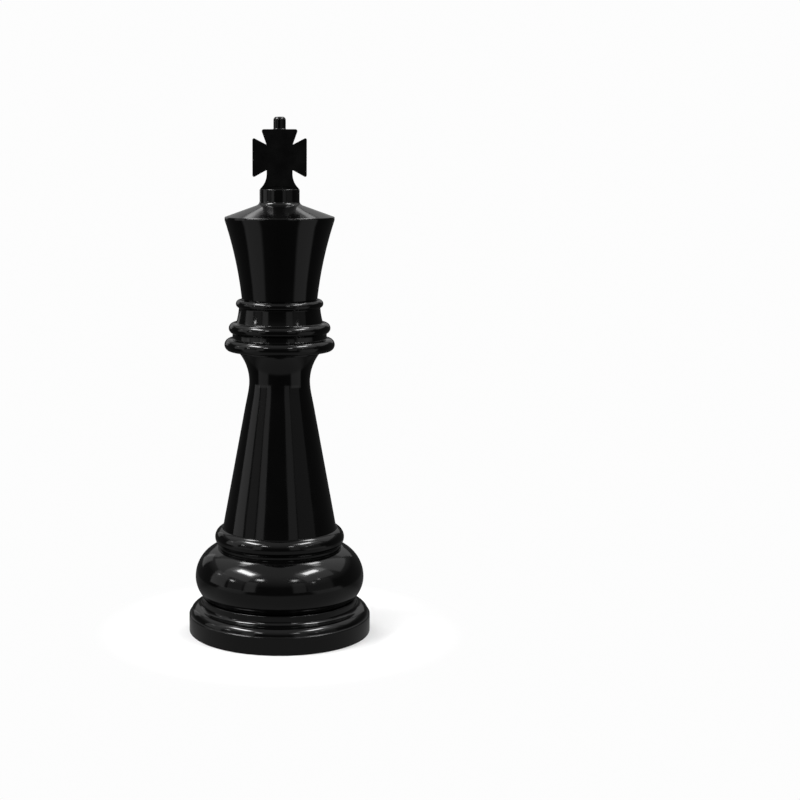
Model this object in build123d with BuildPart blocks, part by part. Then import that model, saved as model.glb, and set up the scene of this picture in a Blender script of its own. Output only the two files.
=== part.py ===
from build123d import *
import os

# Giant garden chess king: a knock-down piece of moulded plastic shells on a
# sand-filled foot. +Z is up, the origin is the centre of the foot's underside
# and the broad face of the cross looks along -Y. Millimetres.

os.makedirs("parts", exist_ok=True)

# Walls and fits
wall = 3.5                  # moulded shells
spigot_wall = 4.5           # spigots carry a ring groove, so they are thicker
fit = 0.3                   # radial gap where one section lifts out of another
press = 0.05                # gap between pieces that stay together
seat = 3.0                  # how deep the stem stands in its ring

# Foot
foot_radius = 114.3
foot_side = 21.0            # upright side of the foot
foot_edge = 1.7
ogee_step = 11.3            # the ogee draws in by this much
ogee_height = 32.0
ogee_belly = 2.4
cove_height = 37.0
cove_hollow = 1.2
bead_step = 5.3             # and the cove by this much more
bead_edge = 1.3
foot_height = 43.9
crease_step = 2.7
deck_width = 8.0            # flange that the bulge stands on

# Bulge
bulge_swell = 11.0
bulge_middle = 25.6
bulge_height = 64.1
bulge_top_radius = 78.0
ring_groove = 0.5

# Ring round the foot of the stem, and the socket inside it
ring_height = 23.8
ring_neck = 3.4
ring_radius = 80.9
ring_lift = 0.8             # the ring is widest this far above its middle
ring_crown = 1.4            # flat left on top of the ring, outside the stem
socket_bore = 60.0
spigot_length = 36.0

# Stem
stem_foot_radius = 71.2
taper_length = 152.2
taper_radius = 43.0
waist_rise = 36.3
waist_radius = 37.8
flare_rise = 32.2
flare_radius = 50.0
plug_flange = 3.2

# Collar: three rings and a band
low_ring_radius = 68.2
low_ring_height = 14.9
low_ring_lip = 4.6          # its underside is flat this far in from the rim
low_ring_draw = 6.3
groove_radius = 58.2
groove_height = 6.3
mid_ring_radius = 62.8
mid_ring_height = 12.9
band_radius = 53.6
band_height = 18.8
band_hollow = 0.5
band_taper = 3.4
top_ring_radius = 53.9
top_ring_height = 9.7
head_spigot_radius = 34.0
head_spigot_length = 32.0
socket_flange = 48.0
screw_ring_height = 12.0

# Crown
crown_foot_radius = 46.5
crown_height = 97.3
crown_hollow = 2.6
rim_radius = 67.2
rim_height = 3.0
crown_wall = 3.0

# Lid and neck
lid_edge = 1.2
lid_rise = 14.6
lid_shoulder = 29.0
neck_radius = 24.4
neck_foot = 6.2
neck_hollow = 1.4
neck_height = 12.6
neck_edge = 1.5
dome_rise = 2.8

# Cross
cross_thickness = 19.0
cross_foot_width = 47.8
cross_waist_width = 31.4
cross_waist_rise = 18.0
cross_notch_rise = 22.6
cross_arm_low = 13.1
cross_span = 65.8
cross_arm_high = 61.9
cross_upper_notch = 53.0
cross_upper_width = 31.8
cross_top_width = 45.0
cross_height = 71.4
cross_corner = 2.5
cross_notch = 1.2
cross_edge = 1.4
peg_radius = 7.5
peg_height = 15.1
peg_shank_radius = 5.0
peg_shank_length = 12.0
peg_dome = 4.0
peg_foot = 1.2
cross_spigot_radius = 7.0
cross_spigot_depth = 28.0
cross_spigot_grip = 24.0    # length held between the two halves
dowel_radius = 2.0
dowel_length = 12.0
dowel_x = 21.0
dowel_rise = 10.0

# Base plate and filler
plate_recess = 3.0
plate_thickness = 4.0
seal_width = 5.0
seal_thickness = 1.5
ledge_height = 3.0
base_screws = 6
boss_radius = 5.0
filler_bore = 20.0
filler_collar = 10.0        # threaded collar above the plate
cap_flange_radius = 26.0
cap_flange = 2.0
cap_wall = 2.5
coin_slot_length = 24.0
coin_slot_width = 3.0
coin_slot_depth = 1.2
cap_seal_bore = 23.5

# Screws and grip rings
screw_radius = 1.9
screw_length = 16.0
screw_head = 3.8
screw_head_height = 2.2
grip_section = 1.4
cross_grip_section = 1.0
ring_screws = 4
socket_screws = 3
socket_screw_length = 13.0
crown_screws = 4
crown_screw_circle = 32.0
crown_boss = 4.0
crown_boss_height = 12.0

# Sand
sand_level = 36.0           # above the foot's deck
sand_gap = 0.5

# Heights and radii that follow from the sizes above
ogee_radius = foot_radius - ogee_step
bead_radius = ogee_radius - bead_step
crease_radius = bead_radius - crease_step
deck_hole = crease_radius - deck_width
bulge_radius = crease_radius + bulge_swell
bulge_widest = foot_height + bulge_middle
bulge_top = foot_height + bulge_height
ring_top = bulge_top + ring_height
seat_top = ring_top - seat
socket_tube = socket_bore + wall
spigot_end = seat_top - spigot_length
socket_floor = spigot_end - press
taper_top = ring_top + taper_length
waist = taper_top + waist_rise
flare_top = waist + flare_rise
stem_top = flare_top + plug_flange
low_ring_top = stem_top + low_ring_height
mid_ring_foot = low_ring_top + groove_height
mid_ring_top = mid_ring_foot + mid_ring_height
band_top = mid_ring_top + band_height
collar_top = band_top + top_ring_height
crown_top = collar_top + crown_height
rim_top = crown_top + rim_height
shoulder = rim_top + lid_rise
neck_start = shoulder + neck_foot
neck_top = neck_start + neck_height + neck_edge
dome_top = neck_top + dome_rise
cross_top = neck_top + cross_height
peg_top = cross_top + peg_height
plate_top = plate_recess + plate_thickness
ledge_foot = plate_top + seal_thickness
plate_radius = foot_radius - wall - press
boss_circle = plate_radius - seal_width - boss_radius - press
ring_screw_circle = (socket_tube + bulge_top_radius) / 2
head_bore = head_spigot_radius + fit
cross_bore = cross_spigot_radius + fit
dowel_height = neck_top + (cross_arm_low + cross_arm_high) / 2
dowel_plane = Plane.XZ.shift_origin((0, 0, dowel_height))


# Countersunk screws that point up, or, with a gap, the holes that take them

UPWARD = (Align.CENTER, Align.CENTER, Align.MIN)
CORNER = (Align.MIN, Align.MIN)


def countersunk(height, circle, count, length=screw_length, gap=0.0, mode=Mode.ADD):
    with Locations((0, 0, height)):
        with PolarLocations(circle, count):
            Cone(screw_head + gap, screw_radius + gap, screw_head_height, align=UPWARD, mode=mode)
            Cylinder(screw_radius + gap, length + 5 * gap, align=UPWARD, mode=mode)


# Foot shell: the broad moulded foot, open underneath. Its deck carries the bulge.

with BuildPart() as foot_shell:
    with BuildSketch(Plane.XZ):
        with BuildLine():
            side = Line((foot_radius, 0), (foot_radius, foot_side))
            edge = TangentArc(side @ 1, (foot_radius - foot_edge, foot_side + foot_edge),
                              tangent=(0, 1))
            ogee = SagittaArc(edge @ 1, (ogee_radius, ogee_height), -ogee_belly)
            cove = SagittaArc(ogee @ 1, (bead_radius, cove_height), cove_hollow)
            bead = Line(cove @ 1, (bead_radius, foot_height - bead_edge))
            lip = TangentArc(bead @ 1, (bead_radius - bead_edge, foot_height), tangent=(0, 1))
            Line(lip @ 1, (deck_hole, foot_height))
            offset(amount=wall, side=Side.LEFT)
        make_face()
    revolve(axis=Axis.Z)
    # Ledge that the base plate's seal presses on
    with BuildSketch(Plane.XY.offset(ledge_foot)):
        Circle(foot_radius - wall / 2)
        Circle(plate_radius - seal_width, mode=Mode.SUBTRACT)
    extrude(amount=ledge_height)
    # Bosses for the base plate's screws
    with BuildSketch(Plane.XY.offset(plate_top)):
        with PolarLocations(boss_circle, base_screws):
            Circle(boss_radius)
    extrude(amount=ogee_height - wall - plate_top)
    countersunk(plate_recess, boss_circle, base_screws, gap=press, mode=Mode.SUBTRACT)
foot_shell.part.label = "foot_shell"
export_step(foot_shell.part, "parts/foot_shell.step")


# Bulge shell: the big rounded body. A flange stands on the foot's deck and a
# lip at the top carries the socket ring.

with BuildPart() as bulge_shell:
    with BuildSketch(Plane.XZ):
        with BuildLine():
            widest = (bulge_radius, bulge_widest)
            flange = Line((deck_hole, foot_height), (crease_radius, foot_height))
            TangentArc(widest, flange @ 1, tangent=(0, -1))
            shoulder_arc = TangentArc(widest, (bulge_top_radius, bulge_top), tangent=(0, 1))
            Line(shoulder_arc @ 1, (socket_tube + press, bulge_top))
            offset(amount=wall, side=Side.LEFT)
        make_face()
    revolve(axis=Axis.Z)
    countersunk(bulge_top - wall, ring_screw_circle, ring_screws, gap=press, mode=Mode.SUBTRACT)
bulge_shell.part.label = "bulge_shell"
export_step(bulge_shell.part, "parts/bulge_shell.step")


# Sand: fills the foot and the bulge to its level, round the filler's collar

with BuildPart() as sand_ballast:
    with BuildSketch(Plane.XZ):
        clearance = wall + sand_gap
        with BuildLine():
            floor = Line((-clearance, foot_height), (crease_radius, foot_height))
            TangentArc(widest, floor @ 1, tangent=(0, -1))
            shoulder_arc = TangentArc(widest, (bulge_top_radius, bulge_top), tangent=(0, 1))
            Polyline(shoulder_arc @ 1, (-clearance, bulge_top), floor @ 0)
        make_face()
        offset(amount=-clearance)
        Rectangle(foot_radius, foot_height + sand_level, align=CORNER, mode=Mode.INTERSECT)
        with Locations((0, plate_top + sand_gap)):
            Rectangle(deck_hole - sand_gap, foot_height, align=CORNER)
            Rectangle(min(bead_radius - wall, boss_circle - boss_radius) - sand_gap,
                      foot_height - wall - plate_top - 2 * sand_gap, align=CORNER)
        Rectangle(filler_bore + 2 * wall + sand_gap, plate_top + filler_collar + sand_gap,
                  align=CORNER, mode=Mode.SUBTRACT)
    revolve(axis=Axis.Z)
sand_ballast.part.label = "sand_ballast"
export_step(sand_ballast.part, "parts/sand_ballast.step")


# Base plate: closes the foot, with a collar for the filler cap in its middle

with BuildPart() as base_plate:
    with BuildSketch(Plane.XZ):
        with Locations((0, plate_recess)):
            Rectangle(plate_radius, plate_thickness, align=CORNER)
            Rectangle(filler_bore + 2 * wall, plate_thickness + filler_collar, align=CORNER)
            Rectangle(filler_bore, plate_thickness + filler_collar, align=CORNER,
                      mode=Mode.SUBTRACT)
            Rectangle(cap_seal_bore, 2 * (grip_section + press), align=CORNER, mode=Mode.SUBTRACT)
    revolve(axis=Axis.Z)
    countersunk(plate_recess, boss_circle, base_screws, gap=press, mode=Mode.SUBTRACT)
base_plate.part.label = "base_plate"
export_step(base_plate.part, "parts/base_plate.step")


# Base seal: flat rubber ring between the plate and the foot's ledge

with BuildPart() as base_seal:
    with BuildSketch(Plane.XY.offset(plate_top)):
        Circle(plate_radius)
        Circle(plate_radius - seal_width, mode=Mode.SUBTRACT)
    extrude(amount=seal_thickness)
base_seal.part.label = "base_seal"
export_step(base_seal.part, "parts/base_seal.step")


# Screws that hold the base plate

with BuildPart() as base_plate_screws:
    countersunk(plate_recess, boss_circle, base_screws)
base_plate_screws.part.label = "base_plate_screws"
export_step(base_plate_screws.part, "parts/base_plate_screws.step")


# Filler cap: a cup-shaped screw plug with a coin slot, and the rubber ring
# under its flange

cap_foot = plate_recess - cap_flange
cap_radius = filler_bore - fit
cap_height = cap_flange + plate_thickness + filler_collar - cap_wall

with BuildPart() as filler_cap:
    with BuildSketch(Plane.XZ):
        with Locations((0, cap_foot)):
            Rectangle(cap_flange_radius, cap_flange - press, align=CORNER)
            Rectangle(cap_radius, cap_height, align=CORNER)
        with Locations((0, cap_foot + cap_flange + cap_wall)):
            Rectangle(cap_radius - cap_wall, cap_height, align=CORNER, mode=Mode.SUBTRACT)
    revolve(axis=Axis.Z)
    with BuildSketch(Plane.XY.offset(cap_foot)):
        Rectangle(coin_slot_length, coin_slot_width)
    extrude(amount=coin_slot_depth, mode=Mode.SUBTRACT)
filler_cap.part.label = "filler_cap"
export_step(filler_cap.part, "parts/filler_cap.step")

with BuildPart() as filler_cap_seal:
    with BuildSketch(Plane.XZ):
        with Locations(((cap_radius + cap_seal_bore) / 2, plate_recess + press + grip_section)):
            Circle(grip_section)
    revolve(axis=Axis.Z)
filler_cap_seal.part.label = "filler_cap_seal"
export_step(filler_cap_seal.part, "parts/filler_cap_seal.step")


# Socket ring: the turned-looking ring on the bulge. It is one moulding with
# the blind socket that the stem's spigot drops into.

with BuildPart() as socket_ring:
    with BuildSketch(Plane.XZ):
        with BuildLine():
            cup = Polyline((0, socket_floor), (0, socket_floor - wall),
                           (socket_tube, socket_floor - wall), (socket_tube, bulge_top),
                           (bulge_top_radius - ring_groove, bulge_top),
                           (bulge_top_radius - ring_groove, bulge_top + ring_neck))
            outside = ThreePointArc(
                cup @ 1, (ring_radius, (bulge_top + ring_neck + ring_top) / 2 + ring_lift),
                (stem_foot_radius + ring_crown, ring_top))
            Polyline(outside @ 1, (stem_foot_radius + fit, ring_top),
                     (stem_foot_radius + fit, seat_top), (socket_bore, seat_top),
                     (socket_bore, socket_floor), cup @ 0)
        make_face()
    revolve(axis=Axis.Z)
    countersunk(bulge_top - wall, ring_screw_circle, ring_screws, gap=press, mode=Mode.SUBTRACT)
socket_ring.part.label = "socket_ring"
export_step(socket_ring.part, "parts/socket_ring.step")

with BuildPart() as socket_ring_screws:
    countersunk(bulge_top - wall, ring_screw_circle, ring_screws)
socket_ring_screws.part.label = "socket_ring_screws"
export_step(socket_ring_screws.part, "parts/socket_ring_screws.step")


# Stem shell: a long tapered tube that flares out under the collar

with BuildPart() as stem_shell:
    with BuildSketch(Plane.XZ):
        with BuildLine():
            for inset in (0, wall):
                foot = Line((stem_foot_radius - inset, seat_top),
                            (stem_foot_radius - inset, ring_top))
                taper = Line(foot @ 1, (taper_radius - inset, taper_top))
                Spline(taper @ 1, (waist_radius - inset, waist),
                       (flare_radius - inset, flare_top), tangents=[taper % 1, (0.8, 1)])
            Line((stem_foot_radius, seat_top), (stem_foot_radius - wall, seat_top))
            Line((flare_radius, flare_top), (flare_radius - wall, flare_top))
        make_face()
    revolve(axis=Axis.Z)
stem_shell.part.label = "stem_shell"
export_step(stem_shell.part, "parts/stem_shell.step")


# Stem foot plug: closes the stem and carries the spigot that stands in the socket

stem_spigot_radius = socket_bore - fit
stem_grip_height = seat_top - spigot_length / 2

with BuildPart() as stem_foot_plug:
    with BuildSketch(Plane.XZ):
        with Locations((0, spigot_end)):
            Rectangle(stem_spigot_radius, spigot_length + seat, align=CORNER)
        with Locations((0, seat_top)):
            Rectangle(stem_foot_radius - wall - press, seat, align=CORNER)
        with Locations((0, spigot_end + spigot_wall)):
            Rectangle(stem_spigot_radius - spigot_wall, spigot_length + seat, align=CORNER,
                      mode=Mode.SUBTRACT)
        with Locations((stem_spigot_radius, stem_grip_height)):
            Rectangle(4 * grip_section, 2 * (grip_section + press), mode=Mode.SUBTRACT)
    revolve(axis=Axis.Z)
stem_foot_plug.part.label = "stem_foot_plug"
export_step(stem_foot_plug.part, "parts/stem_foot_plug.step")

with BuildPart() as stem_grip_ring:
    with BuildSketch(Plane.XZ):
        with Locations((stem_spigot_radius + press - grip_section, stem_grip_height)):
            Circle(grip_section)
    revolve(axis=Axis.Z)
stem_grip_ring.part.label = "stem_grip_ring"
export_step(stem_grip_ring.part, "parts/stem_grip_ring.step")


# Stem top plug: a flange that finishes the flare, and the spigot for the head

head_grip_height = stem_top + head_spigot_length / 2

with BuildPart() as stem_top_plug:
    with BuildSketch(Plane.XZ):
        with Locations((0, flare_top)):
            Rectangle(flare_radius, plug_flange, align=CORNER)
        with Locations((0, flare_top - plug_flange)):
            Rectangle(taper_radius - wall, plug_flange, align=CORNER)
        with Locations((0, flare_top)):
            Rectangle(head_spigot_radius, head_spigot_length + plug_flange, align=CORNER)
        with Locations((0, flare_top - plug_flange)):
            Rectangle(head_spigot_radius - spigot_wall, head_spigot_length + plug_flange,
                      align=CORNER, mode=Mode.SUBTRACT)
        with Locations((head_spigot_radius, head_grip_height)):
            Rectangle(4 * grip_section, 2 * (grip_section + press), mode=Mode.SUBTRACT)
    revolve(axis=Axis.Z)
stem_top_plug.part.label = "stem_top_plug"
export_step(stem_top_plug.part, "parts/stem_top_plug.step")

with BuildPart() as head_grip_ring:
    with BuildSketch(Plane.XZ):
        with Locations((head_spigot_radius + press - grip_section, head_grip_height)):
            Circle(grip_section)
    revolve(axis=Axis.Z)
head_grip_ring.part.label = "head_grip_ring"
export_step(head_grip_ring.part, "parts/head_grip_ring.step")


# Collar: three rings and a slightly hollow band in one moulding. Its flat
# underside hangs over the stem's flare, and its thick foot takes screws.

socket_screw_circle = (head_bore + wall + socket_flange) / 2

with BuildPart() as collar_shell:
    with BuildSketch(Plane.XZ):
        with BuildLine():
            underside = Line((0, stem_top), (low_ring_radius - low_ring_lip, stem_top))
            low_ring = ThreePointArc(underside @ 1,
                                     (low_ring_radius, stem_top + low_ring_height / 2),
                                     (low_ring_radius - low_ring_draw, low_ring_top))
            groove = Polyline(low_ring @ 1, (groove_radius, low_ring_top),
                              (groove_radius, mid_ring_foot))
            mid_ring = ThreePointArc(groove @ 1,
                                     (mid_ring_radius, mid_ring_foot + mid_ring_height / 2),
                                     (groove_radius, mid_ring_top))
            step = Line(mid_ring @ 1, (band_radius, mid_ring_top))
            band = SagittaArc(step @ 1, (band_radius - band_taper, band_top), band_hollow)
            top_ring = ThreePointArc(band @ 1,
                                     (top_ring_radius, band_top + top_ring_height / 2),
                                     (band_radius - band_taper, collar_top))
            Polyline(top_ring @ 1, (0, collar_top), (0, stem_top))
        make_face()
        with Locations((0, stem_top)):
            Rectangle(socket_flange + press, wall, align=CORNER, mode=Mode.SUBTRACT)
            Rectangle(head_bore + wall + press, wall + screw_ring_height, align=CORNER,
                      mode=Mode.SUBTRACT)
        with Locations((0, stem_top + wall + screw_ring_height)):
            Rectangle(crown_foot_radius - wall,
                      collar_top - stem_top - 2 * wall - screw_ring_height,
                      align=CORNER, mode=Mode.SUBTRACT)
    revolve(axis=Axis.Z)
    countersunk(stem_top, socket_screw_circle, socket_screws, gap=press, mode=Mode.SUBTRACT)
    countersunk(collar_top - wall, crown_screw_circle, crown_screws, gap=press,
                mode=Mode.SUBTRACT)
collar_shell.part.label = "collar_shell"
export_step(collar_shell.part, "parts/collar_shell.step")


# Head socket: a cup screwed into the collar from below, over the stem's spigot

with BuildPart() as head_socket:
    with BuildSketch(Plane.XZ):
        with Locations((0, stem_top)):
            Rectangle(socket_flange, wall, align=CORNER)
            Rectangle(head_bore + wall, head_spigot_length + press + wall, align=CORNER)
            Rectangle(head_bore, head_spigot_length + press, align=CORNER, mode=Mode.SUBTRACT)
    revolve(axis=Axis.Z)
    countersunk(stem_top, socket_screw_circle, socket_screws, gap=press, mode=Mode.SUBTRACT)
head_socket.part.label = "head_socket"
export_step(head_socket.part, "parts/head_socket.step")

with BuildPart() as head_socket_screws:
    countersunk(stem_top, socket_screw_circle, socket_screws, length=socket_screw_length)
head_socket_screws.part.label = "head_socket_screws"
export_step(head_socket_screws.part, "parts/head_socket_screws.step")


# Crown: a cup that flares up to the rim, screwed down through its floor

with BuildPart() as crown_shell:
    with BuildSketch(Plane.XZ):
        with BuildLine():
            floor = Line((0, collar_top), (crown_foot_radius, collar_top))
            cup = SagittaArc(floor @ 1, (rim_radius, crown_top), crown_hollow)
            Line(cup @ 1, (rim_radius, rim_top))
            offset(amount=crown_wall, side=Side.LEFT)
        make_face()
    revolve(axis=Axis.Z)
    with BuildSketch(Plane.XY.offset(collar_top)):
        with PolarLocations(crown_screw_circle, crown_screws):
            Circle(crown_boss)
    extrude(amount=crown_wall + crown_boss_height)
    countersunk(collar_top - wall, crown_screw_circle, crown_screws, gap=press,
                mode=Mode.SUBTRACT)
crown_shell.part.label = "crown_shell"
export_step(crown_shell.part, "parts/crown_shell.step")

with BuildPart() as crown_screw_set:
    countersunk(collar_top - wall, crown_screw_circle, crown_screws)
crown_screw_set.part.label = "crown_screws"
export_step(crown_screw_set.part, "parts/crown_screws.step")


# Lid: a low cone that closes the crown and rises into the neck, with the
# cross's socket down its middle

socket_tube_radius = cross_bore + crown_wall
cross_socket_floor = dome_top - cross_spigot_depth

with BuildPart() as crown_lid:
    with BuildSketch(Plane.XZ):
        with BuildLine():
            edge = TangentArc((rim_radius, rim_top),
                              (rim_radius - lid_edge, rim_top + lid_edge), tangent=(0, 1))
            cone = Line(edge @ 1, (lid_shoulder, shoulder))
            root = SagittaArc(cone @ 1, (neck_radius, neck_start), neck_hollow)
            neck = Line(root @ 1, (neck_radius, neck_top - neck_edge))
            brow = TangentArc(neck @ 1, (neck_radius - neck_edge, neck_top), tangent=(0, 1))
            Polyline(brow @ 1, (socket_tube_radius, dome_top), (cross_bore, dome_top))
            offset(amount=crown_wall, side=Side.LEFT)
        make_face()
        with Locations((rim_radius - 2 * crown_wall, crown_top)):
            Rectangle(crown_wall - fit, rim_height + lid_edge, align=CORNER)
        with Locations((rim_radius - crown_wall - press, crown_top)):
            Rectangle(2 * crown_wall, rim_height, align=CORNER, mode=Mode.SUBTRACT)
        with Locations((0, cross_socket_floor - crown_wall)):
            Rectangle(socket_tube_radius, cross_spigot_depth + crown_wall, align=CORNER)
        with Locations((0, cross_socket_floor)):
            Rectangle(cross_bore, cross_spigot_depth, align=CORNER, mode=Mode.SUBTRACT)
    revolve(axis=Axis.Z)
crown_lid.part.label = "crown_lid"
export_step(crown_lid.part, "parts/crown_lid.step")


# Cross: two flat halves that meet on the XZ plane, pinned together, with a
# spigot below and a peg on top held between them

with BuildSketch(Plane.XZ) as cross_outline:
    with BuildLine():
        waist_point = (cross_waist_width / 2, neck_top + cross_waist_rise)
        flare = TangentArc(waist_point, (cross_foot_width / 2, neck_top), tangent=(0, -1))
        Polyline(waist_point,
                 (cross_waist_width / 2, neck_top + cross_notch_rise),
                 (cross_span / 2, neck_top + cross_arm_low),
                 (cross_span / 2, neck_top + cross_arm_high),
                 (cross_upper_width / 2, neck_top + cross_upper_notch),
                 (cross_top_width / 2, cross_top),
                 (0, cross_top), (0, neck_top), flare @ 1)
    make_face()
    mirror(about=Plane.YZ)
    sharp = [v for v in cross_outline.vertices() if v.Y > neck_top + cross_notch_rise / 2]
    fillet([v for v in sharp if abs(v.X) > cross_upper_width / 2 + cross_corner], cross_corner)
    sharp = [v for v in cross_outline.vertices() if v.Y > neck_top + cross_waist_rise]
    fillet([v for v in sharp if abs(v.X) < cross_upper_width / 2 + press], cross_notch)

with BuildPart() as neck_space:
    with BuildSketch(Plane.XZ):
        with BuildLine():
            Polyline((0, neck_start), (cross_span, neck_start), (cross_span, neck_top + fit),
                     (neck_radius - neck_edge, neck_top + fit),
                     (socket_tube_radius, dome_top + fit), (0, dome_top + fit), close=True)
        make_face()
    revolve(axis=Axis.Z)

for name, half in (("cross_front", cross_thickness / 2), ("cross_rear", -cross_thickness / 2)):
    with BuildPart() as cross_half:
        extrude(cross_outline.sketch, amount=half)
        fillet(cross_half.faces().sort_by(Axis.Y)[0 if half > 0 else -1].edges(), cross_edge)
        add(neck_space.part, mode=Mode.SUBTRACT)
        with Locations((0, 0, neck_start)):
            Cylinder(cross_spigot_radius + press, neck_top + cross_spigot_grip - neck_start,
                     align=UPWARD, mode=Mode.SUBTRACT)
        with Locations((0, 0, cross_top - peg_shank_length)):
            Cylinder(peg_shank_radius + press, peg_shank_length, align=UPWARD,
                     mode=Mode.SUBTRACT)
        with Locations(dowel_plane):
            with GridLocations(2 * dowel_x, 2 * dowel_rise, 2, 2):
                Cylinder(dowel_radius + press, dowel_length, mode=Mode.SUBTRACT)
    cross_half.part.label = name
    export_step(cross_half.part, f"parts/{name}.step")

with BuildPart() as cross_dowels:
    with Locations(dowel_plane):
        with GridLocations(2 * dowel_x, 2 * dowel_rise, 2, 2):
            Cylinder(dowel_radius, dowel_length)
cross_dowels.part.label = "cross_dowels"
export_step(cross_dowels.part, "parts/cross_dowels.step")


# Peg: the round-topped pin that stands on the cross

with BuildPart() as cross_peg:
    with BuildSketch(Plane.XZ):
        with BuildLine():
            shank = Polyline((0, cross_top - peg_shank_length),
                             (peg_shank_radius, cross_top - peg_shank_length),
                             (peg_shank_radius, cross_top), (peg_radius + peg_foot, cross_top))
            foot = SagittaArc(shank @ 1, (peg_radius, cross_top + peg_foot), peg_foot / 4)
            upright = Line(foot @ 1, (peg_radius, peg_top - peg_dome))
            dome = TangentArc(upright @ 1, (peg_radius - peg_dome, peg_top), tangent=(0, 1))
            Polyline(dome @ 1, (0, peg_top), shank @ 0)
        make_face()
    revolve(axis=Axis.Z)
cross_peg.part.label = "cross_peg"
export_step(cross_peg.part, "parts/cross_peg.step")


# Spigot that stands the cross in the neck, and its rubber ring

cross_grip_height = dome_top - cross_spigot_depth / 2

with BuildPart() as cross_spigot:
    with BuildSketch(Plane.XZ):
        with Locations((0, cross_socket_floor)):
            Rectangle(cross_spigot_radius, neck_top + cross_spigot_grip - press
                      - cross_socket_floor, align=CORNER)
        with Locations((cross_spigot_radius, cross_grip_height)):
            Rectangle(4 * cross_grip_section, 2 * (cross_grip_section + press),
                      mode=Mode.SUBTRACT)
    revolve(axis=Axis.Z)
cross_spigot.part.label = "cross_spigot"
export_step(cross_spigot.part, "parts/cross_spigot.step")

with BuildPart() as cross_grip_ring:
    with BuildSketch(Plane.XZ):
        with Locations((cross_spigot_radius + press - cross_grip_section, cross_grip_height)):
            Circle(cross_grip_section)
    revolve(axis=Axis.Z)
cross_grip_ring.part.label = "cross_grip_ring"
export_step(cross_grip_ring.part, "parts/cross_grip_ring.step")
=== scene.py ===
import bmesh
import bpy
import math
from mathutils import Euler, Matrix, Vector
from mathutils.geometry import interpolate_bezier


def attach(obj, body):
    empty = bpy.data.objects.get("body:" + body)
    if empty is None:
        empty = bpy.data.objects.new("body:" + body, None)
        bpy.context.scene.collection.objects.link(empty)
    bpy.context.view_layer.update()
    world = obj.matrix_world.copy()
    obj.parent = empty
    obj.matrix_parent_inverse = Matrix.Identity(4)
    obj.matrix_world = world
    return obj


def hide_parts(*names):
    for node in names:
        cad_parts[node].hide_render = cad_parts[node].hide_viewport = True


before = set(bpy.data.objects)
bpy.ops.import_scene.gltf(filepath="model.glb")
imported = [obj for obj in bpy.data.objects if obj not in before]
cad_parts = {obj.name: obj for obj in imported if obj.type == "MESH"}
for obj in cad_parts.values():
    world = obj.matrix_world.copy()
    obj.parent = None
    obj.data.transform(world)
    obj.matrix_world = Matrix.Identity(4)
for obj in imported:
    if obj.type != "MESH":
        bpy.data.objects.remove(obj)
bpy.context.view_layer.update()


# Foot shell. The real one is a thick-walled moulding in black plastic, turned
# in outline: an upright side, an ogee, a cove and a bead. It is polished in
# the mould, open underneath, and a flat deck on top carries the bulge.

MM = 0.001
AROUND = 224                # facets round a turned piece
ARC_STEPS = 14


def linear(hex_colour):
    """An sRGB hex colour as the linear RGBA that a shader takes."""
    parts = [int(hex_colour[i:i + 2], 16) / 255 for i in (1, 3, 5)]
    return (*[c / 12.92 if c <= 0.04045 else ((c + 0.055) / 1.055) ** 2.4 for c in parts], 1)


def add_node(tree, kind, links=None, **settings):
    """Adds a node: settings are its properties or sockets, links go into its sockets."""
    node = tree.nodes.new(kind)
    for name, value in settings.items():
        if hasattr(node, name):
            setattr(node, name, value)
        else:
            node.inputs[name.replace("_", " ")].default_value = value
    for name, source in (links or {}).items():
        tree.links.new(source, node.inputs[name])
    return node


def new_material(name):
    material = bpy.data.materials.new(name)
    material.use_nodes = True
    material.node_tree.nodes.clear()
    return material, material.node_tree


def two_tone(tree, factor, dark, light):
    """A colour between two, by a factor from 0 to 1."""
    mix = add_node(tree, "ShaderNodeMix", {"Factor": factor}, data_type="RGBA")
    first, second, result = mix.inputs[6], mix.inputs[7], mix.outputs[2]    # its colour sockets
    first.default_value = linear(dark)
    second.default_value = linear(light)
    return result


def circle_through(a, b, c):
    """The centre of the circle through three points, and the angle from a to c by way of b."""
    d = 2 * (a[0] * (b[1] - c[1]) + b[0] * (c[1] - a[1]) + c[0] * (a[1] - b[1]))
    squares = [p[0] ** 2 + p[1] ** 2 for p in (a, b, c)]
    x = (squares[0] * (b[1] - c[1]) + squares[1] * (c[1] - a[1]) + squares[2] * (a[1] - b[1])) / d
    y = (squares[0] * (c[0] - b[0]) + squares[1] * (a[0] - c[0]) + squares[2] * (b[0] - a[0])) / d
    start, end = (math.atan2(p[1] - y, p[0] - x) for p in (a, c))
    turn = (end - start) % (2 * math.pi)
    return (x, y), turn if d > 0 else turn - 2 * math.pi


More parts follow.
